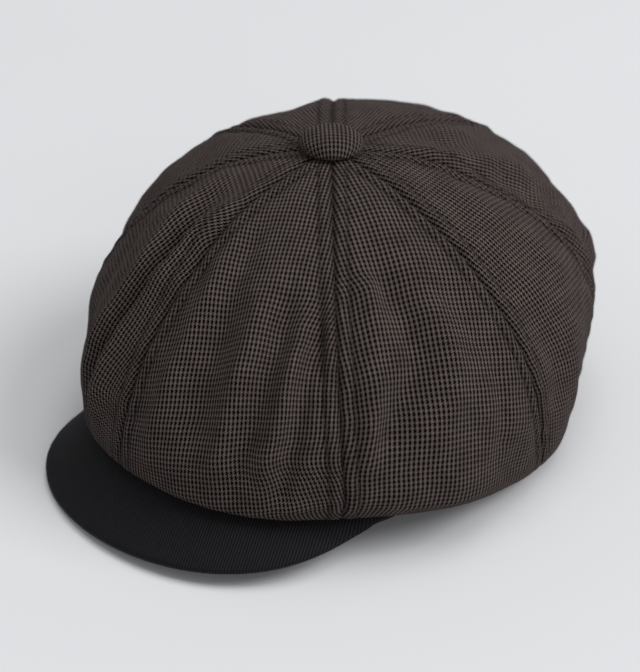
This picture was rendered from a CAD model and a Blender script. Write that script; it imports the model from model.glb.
"""Eight-panel cap: houndstooth crown, plain twill visor, covered top button, lining, sweatband.

The cap stands on the floor, z = 0, with its visor towards -y; +x is the wearer's left.
Shapes are in mm and become metres when a mesh is made. An azimuth, phi, starts at the
front and grows towards +x. "down" follows the crown's outside: 0 at the apex, 1 where the
crown is fullest, 2 at the fold line. A panel is known by the azimuth in degrees of the
seam it starts at.
"""
import math

import bpy
import numpy as np
from mathutils import Matrix, Vector


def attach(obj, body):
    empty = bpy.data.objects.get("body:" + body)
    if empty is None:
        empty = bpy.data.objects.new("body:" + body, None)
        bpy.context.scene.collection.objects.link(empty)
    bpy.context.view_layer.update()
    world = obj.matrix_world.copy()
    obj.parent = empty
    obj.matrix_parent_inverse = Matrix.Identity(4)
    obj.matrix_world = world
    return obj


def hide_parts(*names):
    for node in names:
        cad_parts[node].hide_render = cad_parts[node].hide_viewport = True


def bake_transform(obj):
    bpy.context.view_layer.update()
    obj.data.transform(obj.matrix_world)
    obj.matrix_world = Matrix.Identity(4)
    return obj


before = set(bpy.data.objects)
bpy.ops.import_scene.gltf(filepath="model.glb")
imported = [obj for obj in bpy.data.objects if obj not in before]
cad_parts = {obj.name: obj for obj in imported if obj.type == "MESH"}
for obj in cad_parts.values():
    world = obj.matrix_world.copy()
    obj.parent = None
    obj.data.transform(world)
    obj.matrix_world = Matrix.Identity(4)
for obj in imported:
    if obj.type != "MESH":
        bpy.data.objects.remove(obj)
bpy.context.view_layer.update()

MM = 0.001

# ------------------------------------------------------------------ cap shape, mm
HEAD_HALF_WIDTH, HEAD_HALF_LENGTH = 86.0, 99.0
RIM_BACK_Z, RIM_FRONT_Z, RIM_POWER = 4.5, 25.9, 2.6
RIM_ROLL_SHARE = 0.6            # how much of the visor's roll the rim follows
TOP_Z, APEX_X, APEX_Y = 122.2, -7.7, -2.4
FOLD_ROUND = 5.0                # size of the bend over the fold
MIN_Z = 0.12                    # cloth stays this far above the floor

# Fourier coefficients over azimuth: constant, cos, cos 2, cos 3, sin, sin 2, sin 3
FOLD_R = (106.95, 1.91, 9.38, 1.12, -2.85, 4.26, -4.31)
FULL_EXTRA_R = (4.70, -3.75, 0.10, -1.24, 0.0, 1.04, 3.04)
# constant, cos, sin, cos 2
FULL_Z = (35.88, -14.21, 4.82, -0.91)
SQUARENESS = (2.13, -0.23, -0.28, -0.05)
# fold height: rise at the front, its power, sin, sin 2
FOLD_Z = (22.1, 2.1, 2.75, 2.10)
# the overhang settles on to the visor: azimuth in degrees, sag in mm
SAG_DEG = [-75, -52, -32, -20, -10, 0, 10, 20, 35, 50, 75]
SAG = [0, 1.3, 0.45, 0.35, 1.0, 1.7, 2.3, 2.6, 2.6, 1.6, 0]
UNDER_POWER = 1.86              # how the crown draws in below its fullest line

PANELS = {0: "front_left", 45: "side_front_left", 90: "side_rear_left", 135: "rear_left",
          180: "rear_right", 225: "side_rear_right", 270: "side_front_right",
          315: "front_right"}
PANEL_DEG = 45
FRONT_PANELS = {0, 45, 270, 315}
FLAT_PANELS = (135, 180, 225)   # the rear seams lie flatter
SEAM_DRIFT = {0: -10.33, 45: -1.41, 90: 10.43}   # degrees a seam has moved at the fold line
STITCH_GAP = 5.6                # topstitching runs this far either side of each seam
STITCH_PITCH = 3.1


# ------------------------------------------------------------------ small geometry tools
def unit(v):
    return v / np.maximum(np.linalg.norm(v, axis=-1, keepdims=True), 1e-12)


def soft_step(x, start, end):
    s = np.clip((x - start) / (end - start), 0, 1)
    return s * s * (3 - 2 * s)


def ridge(x, width):
    return np.exp(-(x / width) ** 2)


def smooth(values, times):
    """1-2-1 smoothing down the first axis, with both ends held."""
    for _ in range(times):
        last = values
        values = last.copy()
        values[1:-1] = (last[:-2] + 2 * last[1:-1] + last[2:]) / 4
    return values


def bezier(p0, p1, p2, p3, count):
    s = np.linspace(0, 1, count)[:, None]
    return ((1 - s) ** 3 * p0 + 3 * (1 - s) ** 2 * s * p1
            + 3 * (1 - s) * s ** 2 * p2 + s ** 3 * p3)


def path_length(path):
    return np.r_[0, np.cumsum(np.linalg.norm(np.diff(path, axis=0), axis=1))]


def columns_at(where, knots, table):
    """Linear interpolation of every column of a table."""
    return np.stack([np.interp(where, knots, column) for column in table.T], 1)


def resample(path, fractions):
    """Rows of path (x, y, z, ...) at fractions of its length."""
    length = path_length(path[:, :3])
    return columns_at(fractions * length[-1], length, path)


def grid_normals(grid):
    return unit(np.cross(np.gradient(grid, axis=0), np.gradient(grid, axis=1)))


def outward_normals(grid):
    """Normals of a crown-like grid, turned away from the head."""
    normals = grid_normals(grid)
    probe = grid.shape[0] // 2, grid.shape[1] // 3
    x, y = grid[probe][:2]
    return -normals if normals[probe] @ np.array([x, y, 40]) < 0 else normals


# ------------------------------------------------------------------ shape rules
def outward(phi):
    return np.array([math.sin(phi), -math.cos(phi), 0.0])


def frontness(phi):
    """1 at the front, 0 at the back."""
    return np.clip((1 + np.cos(phi)) / 2, 0, 1)


def head_r(phi):
    return 1.0 / np.sqrt((np.sin(phi) / HEAD_HALF_WIDTH) ** 2
                         + (np.cos(phi) / HEAD_HALF_LENGTH) ** 2)


def rim_z(phi):
    rise = frontness(phi) ** RIM_POWER
    roll = RIM_ROLL_SHARE * VISOR_ROLL * head_r(phi) * np.sin(phi) * rise ** 0.5
    return RIM_BACK_Z + (RIM_FRONT_Z - RIM_BACK_Z) * rise + roll


def series7(c, phi):
    return (c[0] + c[1] * np.cos(phi) + c[2] * np.cos(2 * phi) + c[3] * np.cos(3 * phi)
            + c[4] * np.sin(phi) + c[5] * np.sin(2 * phi) + c[6] * np.sin(3 * phi))


def series4(c, phi):
    return c[0] + c[1] * np.cos(phi) + c[2] * np.sin(phi) + c[3] * np.cos(2 * phi)


def fold_line(phi):
    """Radius and height of the line where the crown folds under."""
    rise, power, sin1, sin2 = FOLD_Z
    z = rise * frontness(phi) ** power + sin1 * np.sin(phi) + sin2 * np.sin(2 * phi)
    deg = (np.degrees(phi) + 180) % 360 - 180
    return series7(FOLD_R, phi), np.maximum(z - np.interp(deg, SAG_DEG, SAG), 0.15)


def crown_rz(phi, down):
    fold_r, fold_z = fold_line(phi)
    full_r = fold_r + series7(FULL_EXTRA_R, phi)
    full_z = series4(FULL_Z, phi)
    power = 2 / series4(SQUARENESS, phi)
    angle = np.clip(down, 0, 1) * np.pi / 2
    upper_r = full_r * np.maximum(np.sin(angle), 1e-9) ** power
    upper_z = full_z + (TOP_Z - full_z) * np.maximum(np.cos(angle), 1e-9) ** power
    under = np.clip(down - 1, 0, 1)
    lower_r = full_r - (full_r - fold_r) * under ** UNDER_POWER
    lower_z = full_z + (fold_z - full_z) * under
    return np.where(down <= 1, upper_r, lower_r), np.where(down <= 1, upper_z, lower_z)


def crown_xyz(phi, down):
    r, z = crown_rz(phi, down)
    shift = np.cos(np.clip(down, 0, 1) * np.pi / 2)
    return np.stack([r * np.sin(phi) + APEX_X * shift,
                     -r * np.cos(phi) + APEX_Y * shift, z], -1)


def seam_phi(seam, down):
    drift = SEAM_DRIFT.get(seam % 360, 0.0)
    return np.radians(seam + drift * np.clip(down / 2, 0, 1) ** 1.3)


def panel_phi(seam, frac, down):
    """Azimuth of the line at frac of the way across a panel."""
    start = seam_phi(seam, down)
    return start + frac * (seam_phi(seam + PANEL_DEG, down) - start)


def crown_path(seam, frac):
    """x, y, z, down along one line of the crown, over the fold and in to the head seam."""
    trial = np.linspace(0.4, 2.0, 600)
    trial_z = crown_rz(panel_phi(seam, frac, trial), trial)[1]
    fold_z = fold_line(panel_phi(seam, frac, 1.6))[1]
    end = float(np.interp(-(fold_z + FOLD_ROUND), -np.minimum.accumulate(trial_z), trial))
    down = np.r_[np.linspace(0.004, 0.1, 14)[:-1], np.linspace(0.1, end, 150)]
    phis = panel_phi(seam, frac, down)
    outside = crown_xyz(phis, down)
    phi = float(phis[-1])
    out = outward(phi)
    last = outside[-1]
    head_seam = out * (head_r(phi) + 2.6)
    head_seam[2] = rim_z(phi) + 0.9
    under = last - out * FOLD_ROUND * 0.55
    under[2] = fold_z
    handle1 = last + unit(last - outside[-2]) * FOLD_ROUND * 0.95
    handle2 = under + 0.12 * (head_seam - under)
    # move the handles until the bend's lowest point is at the fold height
    for _ in range(25):
        bend = bezier(last, handle1, handle2, head_seam, 48)
        excess = bend[:, 2].min() - fold_z
        handle1[2] -= excess * 0.8
        handle2[2] -= excess * 0.5
    down = np.r_[down, end + np.linspace(0, 1, 48)[1:] * 0.6]
    return np.column_stack([np.vstack([outside, bend[1:]]), down])


# ------------------------------------------------------------------ slack and folds in the cloth
class Noise:
    """Sum of seeded random plane waves in 3-D: smooth and repeatable."""
    WAVES, SPREAD = 24, 0.35

    def __init__(self, seed, wavelength):
        random = np.random.RandomState(seed)
        directions = unit(random.normal(size=(self.WAVES, 3)))
        lengths = wavelength * np.exp(random.normal(size=self.WAVES) * self.SPREAD)
        self.waves = directions * (2 * np.pi / lengths)[:, None]
        self.phases = random.uniform(0, 2 * np.pi, self.WAVES)

    def __call__(self, p):
        total = np.sin(p.reshape(-1, 3) @ self.waves.T + self.phases).sum(1)
        return total.reshape(p.shape[:-1]) / math.sqrt(self.WAVES / 2)


NOISE_BIG, NOISE_MID, NOISE_SMALL = Noise(3, 95.0), Noise(5, 34.0), Noise(8, 11.0)

# soft folds: line of (azimuth in degrees, down), height (negative is a hollow), half width
FOLDS = [
    ([(11, 0.25), (12.5, 0.39), (15.5, 0.56), (15, 0.72), (13, 0.88)], -1.5, 5.5),
    ([(33, 0.45), (30, 0.59), (26.5, 0.77), (24, 0.93)], -1.9, 4.5),
    ([(40.5, 0.5), (38.5, 0.63), (33.5, 0.89), (31, 1.0)], -1.8, 4.0),
    ([(24, 0.45), (23, 0.6), (21, 0.78), (19, 0.95)], 1.3, 4.5),
    ([(36, 0.55), (33, 0.72), (29, 0.92)], 1.2, 3.6),
    ([(7, 0.35), (8, 0.55), (6, 0.75), (4, 0.95)], 1.2, 5.0),
    ([(60, 0.42), (62.0, 0.51), (64.5, 0.67), (56.5, 0.78), (50, 0.9)], -1.9, 6.0),
    ([(56, 0.42), (55, 0.50), (51.5, 0.77), (49, 0.95)], 1.3, 4.5),
    ([(72, 0.5), (73, 0.7), (66, 0.88)], 1.0, 7.0),
    ([(-2.5, 0.24), (-8.5, 0.39), (-10.5, 0.56), (-13.5, 0.82), (-14, 0.98)], 2.3, 5.5),
    ([(-33, 0.25), (-21, 0.44), (-17, 0.575), (-20, 0.78), (-21, 0.95)], 2.0, 5.0),
    ([(-20, 0.30), (-14.5, 0.44), (-14, 0.58), (-17, 0.8), (-17.5, 0.95)], -2.2, 4.0),
    ([(-36, 0.45), (-30, 0.65), (-29, 0.9)], -2.0, 6.0),
    ([(-48, 0.4), (-43, 0.65), (-40, 0.92)], 1.6, 7.0),
    ([(122, 0.10), (145, 0.33), (152, 0.42), (152, 0.61)], 2.4, 6.5),
    ([(128, 0.25), (138, 0.45), (139, 0.62)], -2.4, 7.0),
    ([(138, 0.62), (138, 0.81), (134, 1.0)], 2.2, 6.0),
    ([(118, 0.35), (120, 0.55), (122, 0.8)], 1.5, 8.0),
    ([(177, 0.40), (177, 0.50)], 2.0, 8.0),
    ([(149, 0.80), (149, 0.95)], 2.6, 8.0),
    ([(160, 0.6), (162, 0.85), (160, 1.2)], -2.2, 9.0),
    ([(-97, 0.20), (-92, 0.3), (-86, 0.45)], 1.8, 7.0),
    ([(232, 0.12), (228, 0.3), (226, 0.5)], 1.3, 7.0),
    ([(-75, 0.5), (-72, 0.8), (-70, 1.2)], -1.8, 8.0),
    ([(-60, 0.55), (-58, 0.85), (-60, 1.3)], 1.5, 7.0),
    ([(-108, 0.6), (-112, 1.0), (-112, 1.5)], -2.0, 9.0),
    ([(-150, 0.5), (-148, 0.9), (-150, 1.4)], -2.0, 9.0),
    ([(-165, 0.7), (-168, 1.1), (-166, 1.5)], 1.7, 8.0),
    ([(190, 0.5), (188, 0.8), (190, 1.2)], -1.8, 9.0),
    ([(100, 0.6), (103, 0.9), (102, 1.4)], -1.8, 7.0),
    ([(110, 0.9), (113, 1.3), (112, 1.6)], 1.4, 6.0),
    ([(84, 0.75), (81, 0.95), (79, 1.2)], -1.2, 4.0),
    ([(41.2, 0.33), (41.0, 0.5), (40.6, 0.7), (40.2, 0.95)], -0.55, 1.9),
    ([(48.4, 0.33), (48.2, 0.5), (47.8, 0.7), (47.4, 0.95)], -0.55, 1.9),
    ([(-50, 0.42), (-53, 0.6), (-56, 0.85)], -3.2, 16.0),
    ([(138, 0.42), (143, 0.56), (147, 0.7)], -2.2, 12.0),
]
# folds whose mean azimuth lies in this range are exaggerated more than the others
STRONG_RANGE, STRONG_GAIN, OTHER_GAIN = (-28, 80), 2.3, 1.15


def fold_centre_line(stations):
    deg, down = np.array(stations, float).T
    line = crown_xyz(np.radians(deg), down)
    count = 5 * (len(line) - 1) + 1
    fine = np.linspace(0, len(line) - 1, count)
    return smooth(columns_at(fine, np.arange(len(line)), line), 3)


def fold_field(points):
    """Height of the soft folds at points."""
    height = np.zeros(points.shape[:-1])
    for stations, amplitude, half_width in FOLDS:
        line = fold_centre_line(stations)
        nearest = np.full(points.shape[:-1], 1e9)
        where = np.zeros(points.shape[:-1])
        for i in range(len(line) - 1):
            step = line[i + 1] - line[i]
            s = np.clip(((points - line[i]) @ step) / (step @ step), 0, 1)
            distance = np.linalg.norm(points - line[i] - s[..., None] * step, axis=-1)
            closer = distance < nearest
            nearest[closer] = distance[closer]
            where[closer] = ((i + s) / (len(line) - 1))[closer]
        fade = 0.25 + 0.75 * soft_step(np.minimum(where, 1 - where), 0, 0.22)
        mean_deg = np.mean([deg for deg, _ in stations])
        strong = STRONG_RANGE[0] < mean_deg < STRONG_RANGE[1]
        gain = STRONG_GAIN if strong else OTHER_GAIN
        height += gain * amplitude * fade * ridge(nearest, half_width)
    return height


# ------------------------------------------------------------------ mesh tools
def mesh_object(name, points, faces, uv, shade=None):
    """Smooth-shaded object from points and UVs in mm, one of each per vertex."""
    mesh = bpy.data.meshes.new(name)
    mesh.from_pydata((points * MM).tolist(), [], faces)
    layer = mesh.uv_layers.new(name="UVMap")
    corners = np.empty(len(mesh.loops), dtype=np.int32)
    mesh.loops.foreach_get("vertex_index", corners)
    layer.data.foreach_set("uv", uv[corners].astype(np.float32).ravel())
    if shade is not None:
        attribute = mesh.attributes.new("shade", "FLOAT", "POINT")
        attribute.data.foreach_set("value", shade.ravel().astype(np.float32))
    mesh.shade_smooth()
    mesh.update()
    ob = bpy.data.objects.new(name, mesh)
    bpy.context.scene.collection.objects.link(ob)
    return ob


def grid_mesh(name, grid, uv, closed=False, shade=None):
    """Quads over an (n, m, 3) grid; closed joins its last row to its first."""
    rows, columns = grid.shape[:2]
    index = np.arange(rows * columns).reshape(rows, columns)
    if closed:
        index = np.vstack([index, index[:1]])
    corners = (index[:-1, :-1], index[1:, :-1], index[1:, 1:], index[:-1, 1:])
    faces = np.stack(corners, -1).reshape(-1, 4).tolist()
    return mesh_object(name, grid.reshape(-1, 3), faces, uv.reshape(-1, 2), shade)


def turn_faces(ob, probe, direction):
    """Flip all faces if the probe polygon looks away from direction."""
    if probe.normal.dot(Vector(direction)) < 0:
        ob.data.flip_normals()


def thicken(ob, thickness, offset):
    """Real thickness from an applied solidify; offset -1 is inwards, 0 is both ways."""
    solidify = ob.modifiers.new("thick", "SOLIDIFY")
    solidify.thickness = thickness * MM
    solidify.offset = offset
    solidify.use_even_offset = False
    depsgraph = bpy.context.evaluated_depsgraph_get()
    mesh = bpy.data.meshes.new_from_object(ob.evaluated_get(depsgraph))
    ob.modifiers.clear()
    thin = ob.data
    ob.data = mesh
    bpy.data.meshes.remove(thin)


def register(ob, slot, body, *replaced):
    ob.data.materials.clear()
    ob.data.materials.append(MATERIALS[slot])
    if replaced:
        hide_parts(*replaced)
    if body == "blend":
        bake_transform(ob)
    else:
        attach(ob, body)


def panel_body(seam):
    return "blend" if seam in FRONT_PANELS else "crown"


def join_neighbours(grids):
    """Each grid's last line and the next one's first meet halfway."""
    for grid, following in zip(grids, grids[1:] + grids[:1]):
        middle = 0.5 * (grid[-1] + following[0])
        grid[-1] = middle
        following[0] = middle


# ------------------------------------------------------------------ materials
class Material:
    """Principled material with short ways to add nodes."""

    def __init__(self, name, roughness, specular):
        self.material = bpy.data.materials.new(name)
        self.material.use_nodes = True
        self.tree = self.material.node_tree
        self.shader = self.tree.nodes["Principled BSDF"]
        self.set("Roughness", roughness)
        self.set("Specular IOR Level", specular)

    def set(self, socket, value):
        self.shader.inputs[socket].default_value = value

    def node(self, kind, **settings):
        node = self.tree.nodes.new(kind)
        for key, value in settings.items():
            setattr(node, key, value)
        return node

    def link(self, output, socket):
        self.tree.links.new(output, socket)

    def feed(self, socket, value):
        """Link an output, or set a number or an RGB tuple."""
        if isinstance(value, tuple):
            socket.default_value = (*value, 1.0)
        elif isinstance(value, (int, float)):
            socket.default_value = value
        else:
            self.link(value, socket)

    def math(self, operation, *operands, clamp=False):
        node = self.node("ShaderNodeMath", operation=operation, use_clamp=clamp)
        for i, value in enumerate(operands):
            self.feed(node.inputs[i], value)
        return node.outputs[0]

    def add(self, a, b):
        return self.math("ADD", a, b)

    def sub(self, a, b):
        return self.math("SUBTRACT", a, b)

    def mul(self, a, b, clamp=False):
        return self.math("MULTIPLY", a, b, clamp=clamp)

    def mix(self, factor, a, b):
        node = self.node("ShaderNodeMix", data_type="RGBA")
        for i, value in ((0, factor), (6, a), (7, b)):
            self.feed(node.inputs[i], value)
        return node.outputs[2]

    def noise(self, vector, scale, detail):
        node = self.node("ShaderNodeTexNoise")
        node.inputs["Scale"].default_value = scale
        node.inputs["Detail"].default_value = detail
        node.inputs["Roughness"].default_value = 0.55
        self.link(vector, node.inputs["Vector"])
        return node.outputs["Fac"]

    def wave(self, x, pitch):
        """Sine stripes between 0 and 1."""
        return self.add(self.mul(self.math("SINE", self.mul(x, 2 * math.pi / pitch)), 0.5), 0.5)

    def color(self, output):
        self.link(output, self.shader.inputs["Base Color"])

    def bump(self, height, strength, distance):
        node = self.node("ShaderNodeBump")
        node.inputs["Strength"].default_value = strength
        node.inputs["Distance"].default_value = distance
        self.link(height, node.inputs["Height"])
        self.link(node.outputs["Normal"], self.shader.inputs["Normal"])

    def uv_parts(self):
        uv = self.node("ShaderNodeUVMap", uv_map="UVMap")
        split = self.node("ShaderNodeSeparateXYZ")
        self.link(uv.outputs["UV"], split.inputs[0])
        return uv.outputs["UV"], split.outputs[0], split.outputs[1]


def srgb(*channels):
    """Linear colour from 8-bit sRGB."""
    def linear(c):
        c /= 255.0
        return c / 12.92 if c <= 0.04045 else ((c + 0.055) / 1.055) ** 2.4
    return tuple(linear(c) for c in channels)


def scaled(factor, color):
    return tuple(factor * c for c in color)


def houndstooth(name):
    """2/2 twill, four dark and four light threads each way, from UVs in mm."""
    repeat_u, repeat_v = 1.66, 2.12
    positive = 4096.0       # keeps thread numbers above zero
    dark_threads = 4.45     # of 8: the dark threads are a little thicker
    dark, worn_dark, light = srgb(2, 1, 1), srgb(14, 10, 11), srgb(105, 93, 89)
    m = Material(name, roughness=0.95, specular=0.05)
    uv, u, v = m.uv_parts()
    # threads are never perfectly straight
    wobble = m.mul(m.sub(m.noise(uv, scale=0.35, detail=1.0), 0.5), 0.12)
    warp = m.math("DIVIDE", m.add(u, wobble), repeat_u / 8)
    weft = m.math("DIVIDE", m.add(v, wobble), repeat_v / 8)
    warp, weft = m.add(warp, positive), m.add(weft, positive)
    warp_id, weft_id = m.math("FLOOR", warp), m.math("FLOOR", weft)
    warp_dark = m.math("LESS_THAN", m.math("MODULO", warp, 8.0), dark_threads)
    weft_dark = m.math("LESS_THAN", m.math("MODULO", weft, 8.0), dark_threads)
    warp_up = m.math("LESS_THAN", m.math("MODULO", m.add(warp_id, weft_id), 4.0), 1.9)
    is_dark = m.add(m.mul(warp_up, warp_dark), m.mul(m.sub(1.0, warp_up), weft_dark))
    # yarns differ a little and the cloth is slightly mottled
    cell = m.node("ShaderNodeTexWhiteNoise", noise_dimensions="2D")
    combine = m.node("ShaderNodeCombineXYZ")
    m.link(warp_id, combine.inputs[0])
    m.link(weft_id, combine.inputs[1])
    m.link(combine.outputs[0], cell.inputs["Vector"])
    yarn = cell.outputs["Value"]
    light_yarn = m.mix(m.mul(yarn, 0.25), light, scaled(0.35, light))
    # the weft lies deeper than the warp and shows darker
    light_yarn = m.mix(warp_up, scaled(0.46, light), light_yarn)
    dark_yarn = m.mix(m.mul(yarn, 0.2), dark, worn_dark)
    color = m.mix(is_dark, light_yarn, dark_yarn)
    mottle = m.noise(uv, scale=0.11, detail=3.0)
    color = m.mix(m.mul(m.sub(mottle, 0.35), 0.75, clamp=True), color, dark)
    # cloth looks darker in the seams and along the stitching
    shade = m.node("ShaderNodeAttribute", attribute_name="shade").outputs["Fac"]
    m.color(m.mix(m.mul(shade, 0.75, clamp=True), color, srgb(4, 3, 3)))
    # rounded yarns, over and under
    warp_round = m.math("ABSOLUTE", m.math("SINE", m.mul(warp, math.pi)))
    weft_round = m.math("ABSOLUTE", m.math("SINE", m.mul(weft, math.pi)))
    height = m.add(m.mul(warp_up, warp_round), m.mul(m.sub(1.0, warp_up), weft_round))
    fuzz = m.noise(uv, scale=6.0, detail=2.0)
    m.bump(m.add(height, m.mul(fuzz, 0.6)), strength=0.35, distance=0.00012)
    m.set("Sheen Weight", 0.02)
    m.set("Sheen Roughness", 0.5)
    m.set("Sheen Tint", (*srgb(190, 180, 178), 1))
    return m.material


def twill(name, low, high, pitch, angle, roughness=0.8, sheen=0.1, bump=0.35, specular=0.2):
    """Fine diagonal ribs on plain cloth; low and high are 8-bit sRGB, pitch in mm."""
    m = Material(name, roughness, specular)
    uv, u, v = m.uv_parts()
    lean = math.radians(angle)
    across = m.add(m.mul(u, math.cos(lean)), m.mul(v, math.sin(lean)))
    wobble = m.noise(uv, scale=0.8, detail=2.0)
    rib = m.wave(m.add(across, m.mul(wobble, 0.35)), pitch)
    mottle = m.noise(uv, scale=0.25, detail=4.0)
    factor = m.mul(rib, m.add(m.mul(mottle, 0.6), 0.5), clamp=True)
    m.color(m.mix(factor, srgb(*low), srgb(*high)))
    fine = m.noise(uv, scale=7.0, detail=2.0)
    m.bump(m.add(rib, m.mul(fine, 0.5)), strength=bump, distance=0.0001)
    m.set("Sheen Weight", sheen)
    m.set("Sheen Roughness", 0.45)
    return m.material


def satin(name, low, high):
    m = Material(name, roughness=0.42, specular=0.4)
    uv, u, _ = m.uv_parts()
    thread = m.wave(u, pitch=0.25)
    mottle = m.noise(uv, scale=0.15, detail=4.0)
    m.color(m.mix(m.mul(thread, mottle), srgb(*low), srgb(*high)))
    m.bump(m.add(thread, mottle), strength=0.15, distance=0.00008)
    m.set("Anisotropic", 0.5)
    return m.material


def mottled(name, low, high, scale, roughness, metallic=0.0):
    """For hard inner pieces, from object coordinates."""
    m = Material(name, roughness, specular=0.5)
    coordinates = m.node("ShaderNodeTexCoord")
    mottle = m.noise(coordinates.outputs["Object"], scale, detail=4.0)
    m.color(m.mix(mottle, srgb(*low), srgb(*high)))
    m.set("Metallic", metallic)
    m.bump(mottle, strength=0.1, distance=0.0001)
    return m.material


MATERIALS = {
    "crown_cloth": houndstooth("houndstooth_cloth"),
    "thread": twill("sewing_thread", (22, 17, 18), (50, 42, 42), pitch=0.35, angle=62.0,
                    roughness=0.7, sheen=0.0),
    "visor_cloth": twill("visor_twill", (3, 3, 4), (30, 30, 33), pitch=1.1, angle=27.8,
                         sheen=0.03, specular=0.1, bump=0.5),
    "band_cloth": twill("band_twill", (20, 20, 22), (38, 38, 40), pitch=0.7, angle=35.0),
    "lining_cloth": satin("lining_satin", (22, 22, 25), (44, 44, 48)),
    "label": twill("label_weave", (36, 36, 38), (74, 74, 76), pitch=0.5, angle=90.0),
    "interlining": twill("interlining_felt", (196, 194, 186), (214, 212, 206),
                         pitch=1.3, angle=20.0),
    "elastic": twill("elastic_weave", (206, 204, 198), (228, 226, 220),
                     pitch=1.4, angle=90.0),
    "board": mottled("visor_board_plastic", (40, 40, 42), (56, 56, 58),
                     scale=60.0, roughness=0.55),
    "metal": mottled("pressed_sheet_metal", (168, 170, 172), (196, 198, 200),
                     scale=400.0, roughness=0.35, metallic=1.0),
}

# ------------------------------------------------------------------ crown panels
ACROSS, ALONG = ((97, 300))
EXACT_LINES = 25
# weave lean from the panel's middle line, degrees: warp at the button, warp at the rim, weft;
# then ease, where below 1 the repeat looks wider across the panel
WEAVE = {0: (-11, -1, -12, 1.0), 45: (0, 16, 6, 0.87), 90: (6, -8, 6, 1.0),
         315: (-19, 10, 12, 1.15)}
TURNED_EDGE = 1.1       # cloth turned down into the seam
DEEPEST = 2.7           # folds soften below this depth, where the cloth meets the lining


def across_samples(count):
    """Fractions across a panel, denser towards both seams."""
    s = np.linspace(-1, 1, count)
    return 0.5 + 0.5 * np.sign(s) * (1 - (1 - np.abs(s)) ** 1.35)


def panel_grid(seam):
    """Plain panel: cubic interpolation between exact lines; columns x, y, z, down."""
    tail = ALONG // 4
    fractions = np.r_[np.linspace(0, 0.82, ALONG - tail), np.linspace(0.82, 1, tail + 1)[1:]]
    lines = np.array([resample(crown_path(seam, frac), fractions)
                      for frac in np.linspace(0, 1, EXACT_LINES)])
    place = across_samples(ACROSS) * (EXACT_LINES - 1)
    i = np.clip(np.floor(place).astype(int), 0, EXACT_LINES - 2)
    w = (place - i)[:, None, None]
    padded = np.concatenate([2 * lines[:1] - lines[1:2], lines, 2 * lines[-1:] - lines[-2:-1]])
    p0, p1, p2, p3 = (padded[i + step] for step in range(4))
    return 0.5 * ((2 * p1) + (-p0 + p2) * w + (2 * p0 - 5 * p1 + 4 * p2 - p3) * w ** 2
                  + (-p0 + 3 * p1 - 3 * p2 + p3) * w ** 3)


def stitch_wobble(along, seed):
    return 0.18 * np.sin(along / 17.0 + seed) + 0.12 * np.sin(along / 6.3 + 2 * seed)


def seam_relief(seam, along, from_start, from_end):
    """Height left by the sewing: seams, allowances, topstitching and puckers."""
    edge = np.minimum(from_start, from_end)
    relief = 0.5 if seam in FLAT_PANELS else 1.0
    seed = seam / PANEL_DEG
    near_start = from_start < from_end
    below_button = soft_step(along, 6.0, 40.0)
    # the seam itself: a sharp valley
    height = -0.95 * relief * ridge(edge, width=0.9)
    # seam allowance under the cloth: a slightly raised shoulder out to the topstitching
    shoulder = 1 - soft_step(edge, STITCH_GAP - 1.4, STITCH_GAP + 1.6)
    height += 0.5 * relief * shoulder * soft_step(edge, 0.6, 2.4) * below_button
    # topstitch groove, varying with the stitch pitch
    dimple = 0.75 + 0.25 * np.cos(2 * np.pi * along / STITCH_PITCH)
    groove = ridge(edge - STITCH_GAP - stitch_wobble(along, seed), width=1.15)
    height += -0.72 * relief * dimple * groove * soft_step(along, 8.0, 22.0)
    # puckers that run away from the stitching
    pucker = (np.sin(along / 1.75 + 2.2 * np.sin(along / 9.0 + seed) + 1.7 * seed) * 0.6
              + np.sin(along / 2.9 + 1.5 * np.sin(along / 13.0 + 3 * seed)) * 0.7)
    reach = np.exp(-np.maximum(edge - STITCH_GAP, 0) / 7.5) * soft_step(edge, 1.0, STITCH_GAP)
    height += 0.17 * pucker * reach * np.where(near_start, 1.0, 0.83) * below_button
    # finer puckers between seam and stitching
    fine = np.sin(along / 1.5 + 3.0 * seed + np.where(near_start, 0.0, 1.3))
    fine = fine * soft_step(edge, 0.8, 2.2)
    fine = fine * (1 - soft_step(edge, STITCH_GAP - 1.5, STITCH_GAP))
    return height + 0.09 * fine * below_button


def slack_relief(points, down, along, from_start, from_end):
    """Height of the swelling, slack surface and soft folds between the seams."""
    edge = np.minimum(from_start, from_end)
    half = (from_start + from_end) / 2
    belly = np.clip(1 - ((from_start - half) / half) ** 2, 0, 1)
    height = 1.3 * belly * soft_step(along, 10, 60)
    slack = soft_step(edge, 2.0, 14.0) * soft_step(along, 12.0, 60.0)
    height += ((0.55 * NOISE_MID(points) * (0.35 + 0.65 * slack) + 0.10 * NOISE_SMALL(points))
               * soft_step(along, 8, 40))
    height += 0.9 * NOISE_BIG(points) * soft_step(along, 12, 60) * (0.5 + 0.5 * slack)
    # folds weaken near the seams, the button and the head seam
    end = down[:, -1:]
    free = 1 - soft_step(down, end - 0.62, end - 0.42)
    return height + (fold_field(points) * (0.35 + 0.65 * soft_step(edge, 0.0, 6.0))
                     * soft_step(along, 6, 24) * (0.25 + 0.75 * free))


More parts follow.
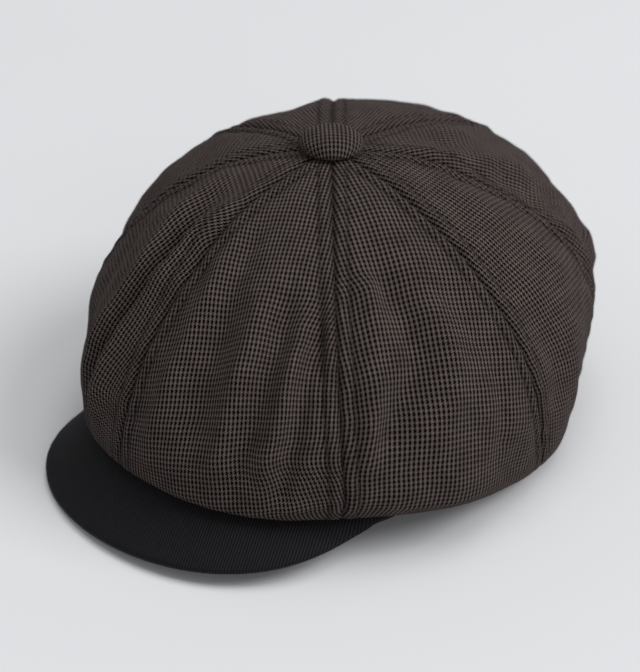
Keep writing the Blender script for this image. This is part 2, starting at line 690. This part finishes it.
def panel_uv(seam, cloth, width, along):
    """The finished panel laid flat without stretching, grain along its middle, mm."""
    steps = smooth(np.linalg.norm(np.diff(cloth, axis=0), axis=2).T, 14).T
    across = np.vstack([np.zeros((1, ALONG)), np.cumsum(steps, axis=0)])
    across = across - across[ACROSS // 2]
    # curvature of the lines across the flat panel
    radius = np.maximum(width / np.radians(PANEL_DEG), 1.0)
    bend = smooth(np.gradient(radius, along) / radius, 60)
    bend = np.where(np.abs(bend) < 1e-5, 1e-5, bend)
    angle = np.clip(bend * across, -1.4, 1.4)
    flat_x = np.sin(angle) / bend
    flat_y = along - (1 - np.cos(angle)) / bend
    warp_top, warp_rim, weft, ease = WEAVE.get(seam, (0, 0, 0, 1.0))
    top, rim, tip = (math.tan(math.radians(lean)) for lean in (warp_top, warp_rim, weft))
    drift = top * along + (rim - top) * along ** 2 / (2 * along[-1])
    apart = 20.0 * seam     # every panel is cut from another part of the cloth
    return np.stack([ease * flat_x + drift + apart, flat_y - flat_x * tip], -1)


def shape_panel(seam):
    """Finished grid, UVs, distance along from the button, and from each seam."""
    grid = panel_grid(seam)
    points, down = grid[:, :, :3], grid[:, :, 3]
    steps = np.linalg.norm(np.diff(points, axis=0), axis=2)
    from_start = np.vstack([np.zeros((1, ALONG)), np.cumsum(steps, axis=0)])
    width = from_start[-1]
    from_end = width - from_start
    along = path_length(points[ACROSS // 2]) + 3.0
    height = seam_relief(seam, along, from_start, from_end)
    height += slack_relief(points, down, along, from_start, from_end)
    # relief dies out just above the head seam
    end = down[:, -1:]
    height = height * (1 - 0.75 * soft_step(down, end - 0.78, end - 0.42))
    height = np.where(height < -DEEPEST, -DEEPEST - np.tanh(-DEEPEST - height), height)
    # under the button the cloth is pulled flat and held down
    height = height * soft_step(along, 4.0, 16.0) - 0.25 * (1 - soft_step(along, 6, 15))
    cloth = points + outward_normals(points) * height[..., None]
    cloth[:, :, 2] = np.maximum(cloth[:, :, 2], MIN_Z)
    return cloth, panel_uv(seam, cloth, width, along), along, from_start, from_end


def build_panel(seam, cloth, normals, uv, along, edge):
    # one more line on each border goes down into the seam
    first = cloth[0] - normals[1] * TURNED_EDGE
    last = cloth[-1] - normals[-2] * TURNED_EDGE
    cloth = np.concatenate([first[None], cloth, last[None]])
    turn = np.array([TURNED_EDGE, 0])
    uv = np.concatenate([uv[:1] - turn, uv, uv[-1:] + turn])
    shade = (0.55 * ridge(edge, width=1.1) + 0.42 * ridge(edge - STITCH_GAP, width=0.9)
             + 0.12 * (1 - soft_step(edge, STITCH_GAP, STITCH_GAP + 2.5)))
    shade = shade * soft_step(along, 5.0, 20.0)
    shade = np.concatenate([shade[:1] + 0.3, shade, shade[-1:] + 0.3])
    side = PANELS[seam]
    ob = grid_mesh(f"crown_cloth_{side}", cloth, uv, shade=shade)
    probe = ob.data.polygons[len(ob.data.polygons) // 2]
    turn_faces(ob, probe, (probe.center.x, probe.center.y, 0.03))
    thicken(ob, 0.9, offset=-1.0)
    register(ob, "crown_cloth", panel_body(seam), f"crown_panel_{side}")


def topstitch_row(seam, cloth, normals, along, distance):
    """Points and normals of the row beside the seam that distance is measured from."""
    half = ACROSS // 2 + 1
    points, point_normals = [], []
    for j in range(ALONG):
        gap = STITCH_GAP + stitch_wobble(along[j], seam / PANEL_DEG)
        if along[j] < 15.0 or distance[:, j].max() < gap:
            continue
        place = np.interp(gap, distance[:half, j], np.arange(half))
        i = int(place)
        w = place - i
        points.append(cloth[i, j] * (1 - w) + cloth[i + 1, j] * w)
        point_normals.append(normals[i, j] * (1 - w) + normals[i + 1, j] * w)
    return np.array(points), np.array(point_normals)


def build_crown():
    """All eight panels; returns the front and the rear rows of topstitching."""
    shaped = {seam: shape_panel(seam) for seam in PANELS}
    join_neighbours([panel[0] for panel in shaped.values()])
    front_rows, rear_rows = [], []
    for seam, (cloth, uv, along, from_start, from_end) in shaped.items():
        normals = outward_normals(cloth)
        build_panel(seam, cloth, normals, uv, along, np.minimum(from_start, from_end))
        rows = front_rows if seam in FRONT_PANELS else rear_rows
        rows.append(topstitch_row(seam, cloth, normals, along, from_start))
        rows.append(topstitch_row(seam, cloth[::-1], normals[::-1], along, from_end[::-1]))
    return front_rows, rear_rows


# ------------------------------------------------------------------ stitches
def stitch_mesh(name, rows, pitch, length, radius):
    """Short capped tubes along each row, their ends dipping into the cloth."""
    sides, rings, lift = 6, 5, 0.02
    x = np.linspace(-1, 1, rings)
    radii = radius * np.sqrt(np.clip(1 - 0.82 * x ** 4, 0.05, 1))
    dip = -0.3 * x ** 4
    verts, faces, uvs = [], [], []
    for points, point_normals in rows:
        distance = path_length(points)
        start = 1.0
        while start + length < distance[-1]:
            u = np.linspace(start, start + length, rings)
            centres = columns_at(u, distance, points)
            normals = unit(columns_at(u, distance, point_normals))
            sideways = np.cross(unit(np.gradient(centres, axis=0)), normals)
            base = len(verts)
            for i in range(rings):
                centre = centres[i] + normals[i] * (lift + radius * 0.45 + dip[i])
                for a in range(sides):
                    angle = 2 * math.pi * a / sides
                    spoke = normals[i] * math.sin(angle) + sideways[i] * math.cos(angle)
                    verts.append(centre + spoke * radii[i])
                    uvs.append((u[i], a * 0.2))
            for i in range(rings - 1):
                low, high = base + i * sides, base + (i + 1) * sides
                for a in range(sides):
                    b = (a + 1) % sides
                    faces.append((low + a, low + b, high + b, high + a))
            faces.append(tuple(base + a for a in range(sides))[::-1])
            faces.append(tuple(base + (rings - 1) * sides + a for a in range(sides)))
            start += pitch
    return mesh_object(name, np.array(verts), faces, np.array(uvs))


def build_topstitching(front_rows, rear_rows):
    size = dict(pitch=STITCH_PITCH, length=2.35, radius=0.2)
    register(stitch_mesh("crown_topstitching_front", front_rows, **size), "thread", "blend")
    register(stitch_mesh("crown_topstitching_rear", rear_rows, **size),
             "thread", "crown", "crown_seam_thread")


# ------------------------------------------------------------------ lining
LINING_ACROSS, LINING_ALONG = ((41, 120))
LINING_GAP = 5.2        # inside the crown's surface


def lining_path(seam, frac):
    """One line of the lining, from the apex down inside the crown to the sweatband."""
    trial = np.linspace(0.3, 1.8, 400)
    trial_z = crown_rz(panel_phi(seam, frac, trial), trial)[1]
    leave_z = rim_z(panel_phi(seam, frac, 1.2)) + 40.0
    leave = float(np.interp(-leave_z, -trial_z, trial))
    down = np.r_[np.linspace(0.004, 0.1, 10)[:-1], np.linspace(0.1, leave, 90)]
    phis = panel_phi(seam, frac, down)
    outside = crown_xyz(phis, down)
    sideways = np.stack([np.cos(phis), np.sin(phis), 0 * phis], 1)
    normals = unit(np.cross(sideways, unit(np.gradient(outside, axis=0))))
    if normals[3, 2] > 0:
        normals = -normals
    inside = outside + normals * LINING_GAP
    phi = float(phis[-1])
    out = outward(phi)
    end = out * (head_r(phi) + 2.35)
    end[2] = rim_z(phi) + 3.0
    last = inside[-1]
    span = np.linalg.norm(last - end)
    bend = bezier(last, last + unit(last - inside[-3]) * span * 0.3,
                  end + out * 1.8 + np.array([0, 0, span * 0.55]), end, 30)
    return np.vstack([inside, bend[1:]])


def shape_lining(seam):
    rows = np.array([resample(lining_path(seam, frac), np.linspace(0.005, 1, LINING_ALONG))
                     for frac in np.linspace(0, 1, LINING_ACROSS)])
    width = np.linalg.norm(rows[-1] - rows[0], axis=1)
    frac = np.linspace(0, 1, LINING_ACROSS)[:, None]
    edge = np.minimum(frac, 1 - frac) * width
    along = np.linspace(0, 190, LINING_ALONG)
    # seam ridge with a groove beside it, puckers, then slack
    height = 0.5 * ridge(edge, width=0.9) - 0.25 * ridge(edge - 2.2, width=0.8)
    height += (0.22 * np.sin(along / 2.3 + seam) * np.exp(-edge / 6.0)
               - 0.8 * (0.5 + 0.5 * NOISE_MID(rows)) - 0.12 * NOISE_SMALL(rows))
    height *= soft_step(along, 6, 30) * (1 - soft_step(along, 165, 188))
    uv = np.stack([frac * width, np.broadcast_to(along, edge.shape)], -1)
    return rows + outward_normals(rows) * height[..., None], uv


def build_lining():
    shaped = {seam: shape_lining(seam) for seam in PANELS}
    join_neighbours([cloth for cloth, _ in shaped.values()])
    for seam, (cloth, uv) in shaped.items():
        ob = grid_mesh(f"lining_cloth_{PANELS[seam]}", cloth, uv)
        thicken(ob, 0.3, offset=0.0)
        register(ob, "lining_cloth", panel_body(seam), f"lining_panel_{PANELS[seam]}")


# ------------------------------------------------------------------ sweatband and what is in it
BAND_HEIGHT, BAND_THICK = 32.0, 1.9
BAND_ROLL_Z, BAND_ROLL_R = BAND_HEIGHT - 1.1, 0.85      # rolled top edge
BAND_STITCH_HEIGHTS = (3.2, BAND_HEIGHT - 4.5)
MM_PER_DEGREE = 1.62    # UV scale round the head


def ring_piece(name, node, slot, body, degrees, section, thickness, ripple=0.0):
    """Cloth round the head; section rows are outward offset, height above rim, UV v."""
    grid = []
    for deg in degrees:
        phi = math.radians(deg)
        row = []
        for offset, height, _ in section:
            wave = (ripple * math.sin(deg * 1.3) * min(height / 12.0, 1.0)
                    + 0.5 * ripple * math.sin(deg * 3.1 + height * 0.2))
            point = outward(phi) * (head_r(phi) + offset + wave)
            point[2] = rim_z(phi) + height
            row.append(point)
        grid.append(row)
    uv = np.array([[(deg * MM_PER_DEGREE, v) for _, _, v in section] for deg in degrees])
    ob = grid_mesh(name, np.array(grid), uv)
    thicken(ob, thickness, offset=0.0)
    register(ob, slot, body, node)


def flat_strip(name, node, slot, body, degrees, offset, heights, thickness):
    ring_piece(name, node, slot, body, degrees, [(offset, h, h) for h in heights], thickness)


def band_section():
    """Outer face going up, rolled top edge, inner face coming down."""
    section = [(BAND_THICK - 0.1, h, -h) for h in np.linspace(-0.2, BAND_ROLL_Z, 22)]
    section += [(BAND_THICK / 2 + BAND_ROLL_R * math.cos(a),
                 BAND_ROLL_Z + BAND_ROLL_R * math.sin(a), -BAND_HEIGHT - a)
                for a in np.radians(np.linspace(12, 168, 9))]
    low, high = BAND_STITCH_HEIGHTS
    # the inner face stands proud towards the head along both stitch rows
    section += [(0.25 - 0.25 * ridge(h - high, width=0.8) - 0.3 * ridge(h - low, width=0.8),
                 h, -2 * BAND_HEIGHT + h - 6) for h in np.linspace(BAND_ROLL_Z, -0.2, 40)]
    return section


def build_band_stitching():
    phis = np.radians(np.linspace(-179, 179, 720))
    normals = np.array([-outward(phi) for phi in phis])
    rows = []
    for height in BAND_STITCH_HEIGHTS:
        points = [outward(phi) * (head_r(phi) - 0.1) + np.array([0, 0, rim_z(phi) + height])
                  for phi in phis]
        rows.append((np.array(points), normals))
    ob = stitch_mesh("sweatband_stitching", rows, pitch=3.4, length=2.5, radius=0.17)
    register(ob, "thread", "blend")


def build_sweatband():
    ring_piece("sweatband_cloth", "sweatband", "band_cloth", "blend",
               degrees=np.linspace(-179.9, 179.9, 361),
               section=band_section(), thickness=0.45, ripple=0.22)
    inside = dict(offset=BAND_THICK / 2 + 0.05, heights=np.linspace(2.0, BAND_HEIGHT - 4.0, 14),
                  thickness=0.4)
    flat_strip("sweatband_interlining_felt", "sweatband_interlining", "interlining", "blend",
               degrees=np.linspace(-145, 145, 121), **inside)
    flat_strip("rear_elastic_strip", "rear_elastic", "elastic", "crown",
               degrees=np.linspace(150, 210, 121), **inside)
    flat_strip("size_label_weave", "size_label", "label", "crown",
               degrees=np.linspace(171, 189, 25), offset=-0.42,
               heights=np.linspace(8.0, 24.0, 12), thickness=0.3)
    build_band_stitching()


# ------------------------------------------------------------------ visor
VISOR_HALF_WIDTH, VISOR_BACK_Y, VISOR_LENGTH, VISOR_POWER = 75.2, -67.7, 72.4, 0.715
VISOR_FRONT_Z, VISOR_SIDE_Z = 2.95, 5.35
VISOR_ROLL = 0.047      # rise in z per mm of x
VISOR_YAW = 1.56        # degrees about z
VISOR_ARC = 60.0        # degrees of head seam either side of the front
VISOR_HALF_THICK = 1.62
VISOR_AROUND, VISOR_DEEP = ((241, 50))


def visor_lines():
    """The visor's inner line on the head seam and its outer rim."""
    sweep = np.radians(np.linspace(-90, 90, 181))
    ahead = np.clip(np.cos(sweep), 0, 1)
    x = VISOR_HALF_WIDTH * np.sin(sweep)
    y = VISOR_BACK_Y - VISOR_LENGTH * ahead ** VISOR_POWER
    z = VISOR_SIDE_Z + (VISOR_FRONT_Z - VISOR_SIDE_Z) * ahead ** 1.5 + VISOR_ROLL * x
    yaw = math.radians(VISOR_YAW)
    front = np.stack([x * math.cos(yaw) - y * math.sin(yaw),
                      x * math.sin(yaw) + y * math.cos(yaw), z], 1)
    arc = np.radians(np.linspace(-VISOR_ARC, VISOR_ARC, 181))
    inner = np.array([outward(phi) * (head_r(phi) + 3.0) for phi in arc])
    inner[:, 2] = [rim_z(phi) - 1.4 for phi in arc]
    ends = []
    for e in (0, -1):
        tip = front[e]
        corner = inner[e] + np.array([0.0, -6.0, -2.2]) + outward(arc[e]) * 2.2
        span = np.linalg.norm(corner - tip)
        ends.append(bezier(tip, tip + np.array([0, 1, 0.15]) * span * 0.4,
                           corner + np.array([0, -0.4, -0.18]) * span * 0.8, corner, 14))
    outer = np.vstack([ends[0][::-1], front[1:-1], ends[1]])
    fractions = np.linspace(0, 1, VISOR_AROUND)
    return resample(inner, fractions), smooth(resample(outer, fractions), 6)


def build_visor_cover(name, node, sign, inner, outer):
    """Cover over one face of the board (sign 1 on top, -1 under), rolled at the rim."""
    w = np.linspace(0, 1, VISOR_DEEP)
    middle = inner[:, None, :] * (1 - w)[None, :, None] + outer[:, None, :] * w[None, :, None]
    normals = grid_normals(middle)
    if normals[VISOR_AROUND // 2, VISOR_DEEP // 2, 2] < 0:
        normals = -normals
    length = np.linalg.norm(outer - inner, axis=1)[:, None]
    to_rim = length * (1 - w)[None, :]
    roll = VISOR_HALF_THICK * np.sqrt(np.clip(1 - (1 - np.clip(to_rim / 1.9, 0, 1)) ** 2.2,
                                              0.0, 1))
    x, y = middle[..., 0], middle[..., 1]
    soft = 0.10 * np.sin(x / 9.0 + y / 14.0) * np.clip(to_rim / 8.0, 0, 1)
    pucker_step = 0.9
    pucker = (0.035 * np.sin(np.arange(VISOR_AROUND)[:, None] * pucker_step)
              * ridge(to_rim - 3.0, width=2.5))
    cloth = middle + normals * (sign * (roll + soft + pucker))[..., None]
    # the last line tucks in between the two covers
    tuck = outer + normals[:, -1] * sign * 0.02 - (outer - inner) / length * 0.8
    cloth = np.concatenate([cloth, tuck[:, None]], 1)
    cloth[..., 2] = np.maximum(cloth[..., 2], MIN_Z)
    uv = np.stack([x, y], -1)
    ob = grid_mesh(name, cloth, np.concatenate([uv, uv[:, -1:]], 1))
    turn_faces(ob, ob.data.polygons[len(ob.data.polygons) // 2], (0, 0, sign))
    thicken(ob, 0.5, offset=-1.0)
    register(ob, "visor_cloth", "visor", node)


def build_visor():
    inner, outer = visor_lines()
    build_visor_cover("visor_cover_top", "visor_top_cover", 1, inner, outer)
    build_visor_cover("visor_cover_under", "visor_under_cover", -1, inner, outer)


# ------------------------------------------------------------------ top button
BUTTON_SEAT = TOP_Z + 0.25
BUTTON_R, BUTTON_H = 13.25, 8.6
BUTTON_RIM_H = 2.0      # widest line above the seat
BUTTON_POWER = 2 / 2.25
BUTTON_DOME_END = 0.72  # share of the profile that is dome
BUTTON_AROUND, BUTTON_DOWN = ((144, 60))
BUTTON_WEAVE_DEG = 47
BUTTON_UV_SHIFT = 400.0


def button_profile(s):
    """Radius and height of the covered button, from its middle (0) to under the rim (1)."""
    widest_z = BUTTON_SEAT + BUTTON_RIM_H
    if s < BUTTON_DOME_END:
        angle = (1 - s / BUTTON_DOME_END) * math.pi / 2
        return (BUTTON_R * math.cos(angle) ** BUTTON_POWER,
                widest_z + (BUTTON_H - BUTTON_RIM_H) * math.sin(angle) ** BUTTON_POWER)
    under = (s - BUTTON_DOME_END) / (1 - BUTTON_DOME_END)
    angle = under * math.pi / 2
    r = BUTTON_R - 1.6 * (1 - math.cos(angle)) - max(under - 0.6, 0) / 0.4 * 2.4
    return r, widest_z - BUTTON_RIM_H * math.sin(angle) + 0.05


def build_button():
    fractions = np.linspace(0.0, 1.0, BUTTON_DOWN)
    profile = np.array([button_profile(s) for s in fractions])
    stretched = path_length(profile) * 0.97
    grid, uv = [], []
    for i in range(BUTTON_AROUND):
        angle = 2 * math.pi * i / BUTTON_AROUND
        cos, sin = math.cos(angle), math.sin(angle)
        gathers = (0.16 * math.sin(22 * angle + 0.6 * math.sin(3 * angle))
                   + 0.08 * math.sin(37 * angle + 1.0))
        row = []
        for s, (r, z) in zip(fractions, profile):
            # cloth gathered under the rim, and slightly uneven on top
            pleat = gathers * max(0.0, (s - 0.52) / 0.48) ** 1.5
            uneven = 0.12 * math.sin(2 * angle + 0.7) * min(1.0, s * 2) * (1 - s)
            row.append((APEX_X + (r + pleat) * cos, APEX_Y + (r + pleat) * sin,
                        z + uneven - 0.35 * pleat))
        grid.append(row)
        uv.append(np.stack([stretched * cos, stretched * sin], -1))
    u, v = np.moveaxis(np.array(uv), -1, 0)
    turn = math.radians(BUTTON_WEAVE_DEG)
    cos, sin = math.cos(turn), math.sin(turn)
    uv = np.stack([u * cos + v * sin, -u * sin + v * cos], -1) + BUTTON_UV_SHIFT
    ob = grid_mesh("button_cloth", np.array(grid), uv, closed=True)
    turn_faces(ob, ob.data.polygons[3], (0, 0, 1))
    thicken(ob, 0.5, offset=-1.0)
    register(ob, "crown_cloth", "button", "button_fabric_cover")


def dress_kept_pieces():
    """Materials for the CAD pieces that stay as they are."""
    kept = {"visor_board": "board", "button_shell": "metal", "button_back_plate": "metal",
            "button_shank": "metal", "button_washer": "metal"}
    for node, material in kept.items():
        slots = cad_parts[node].data.materials
        slots.clear()
        slots.append(MATERIALS[material])


# ------------------------------------------------------------------ floor, light, camera (m)
VIEW_CENTRE = Vector((0, 0, 0.046))


def build_floor():
    m = Material("floor_paper", roughness=0.95, specular=0.05)
    coordinates = m.node("ShaderNodeTexCoord")
    mottle = m.noise(coordinates.outputs["Object"], scale=3.0, detail=2.0)
    m.color(m.mix(mottle, (0.555, 0.558, 0.568), (0.575, 0.578, 0.588)))
    bpy.ops.mesh.primitive_plane_add(size=12.0, location=(0, 0, 0))
    floor = bpy.context.object
    floor.name = "floor"
    floor.data.materials.append(m.material)


def build_world():
    world = bpy.data.worlds.new("studio")
    bpy.context.scene.world = world
    world.use_nodes = True
    background = world.node_tree.nodes["Background"]
    background.inputs["Color"].default_value = (0.96, 0.975, 1.0, 1)
    background.inputs["Strength"].default_value = 0.50


def area_light(name, location, target, size, power):
    light = bpy.data.lights.new(name, "AREA")
    light.shape = "DISK"
    light.size = size
    light.energy = power
    ob = bpy.data.objects.new(name, light)
    ob.location = location
    aim = Vector(target) - Vector(location)
    ob.rotation_euler = aim.to_track_quat("-Z", "Y").to_euler()
    bpy.context.scene.collection.objects.link(ob)


def build_lights():
    area_light("key", location=(3.7, 2.4, 4.4), target=(0, 0, 0.05), size=3.4, power=250.0)
    area_light("top", location=(0.2, 0.6, 4.6), target=(0, 0, 0.05), size=3.4, power=92.0)
    area_light("fill", location=(4.2, -2.0, 1.4), target=(0, 0, 0.03), size=3.2, power=52.0)


def camera_matrix(azimuth, elevation, roll, distance):
    """Camera looking at the view centre; angles in degrees."""
    azimuth, elevation, roll = (math.radians(a) for a in (azimuth, elevation, roll))
    back = Vector((math.sin(azimuth) * math.cos(elevation),
                   -math.cos(azimuth) * math.cos(elevation), math.sin(elevation)))
    right = Vector((math.cos(azimuth), math.sin(azimuth), 0))
    up = back.cross(right)
    rolled_right = right * math.cos(roll) + up * math.sin(roll)
    rolled_up = -right * math.sin(roll) + up * math.cos(roll)
    matrix = Matrix((rolled_right, rolled_up, back)).transposed().to_4x4()
    matrix.translation = VIEW_CENTRE + back * distance
    return matrix


def build_camera():
    scene = bpy.context.scene
    camera = bpy.data.cameras.new("cam")
    ob = bpy.data.objects.new("cam", camera)
    scene.collection.objects.link(ob)
    ob.matrix_world = camera_matrix(azimuth=44.03, elevation=30.22, roll=0.89, distance=0.7475)
    camera.sensor_width = 36.0
    camera.lens = 93.5807143
    camera.shift_x = -0.0394196429
    camera.shift_y = -0.0313988095
    camera.clip_start = 0.01
    camera.dof.use_dof = True
    camera.dof.aperture_fstop = 12.0
    # focus stays on the near side of the cap from wherever it is seen
    pivot = bpy.data.objects.new("focus_pivot", None)
    spot = bpy.data.objects.new("focus_spot", None)
    for empty in (pivot, spot):
        scene.collection.objects.link(empty)
    pivot.location = VIEW_CENTRE
    track = pivot.constraints.new("DAMPED_TRACK")
    track.target = ob
    track.track_axis = "TRACK_Z"
    spot.parent = pivot
    spot.location = (0, 0, 0.0750)
    camera.dof.focus_object = spot
    scene.camera = ob
    scene.view_settings.view_transform = "Standard"


build_topstitching(*build_crown())
build_lining()
build_sweatband()
build_visor()
build_button()
dress_kept_pieces()
build_floor()
build_world()
build_lights()
build_camera()
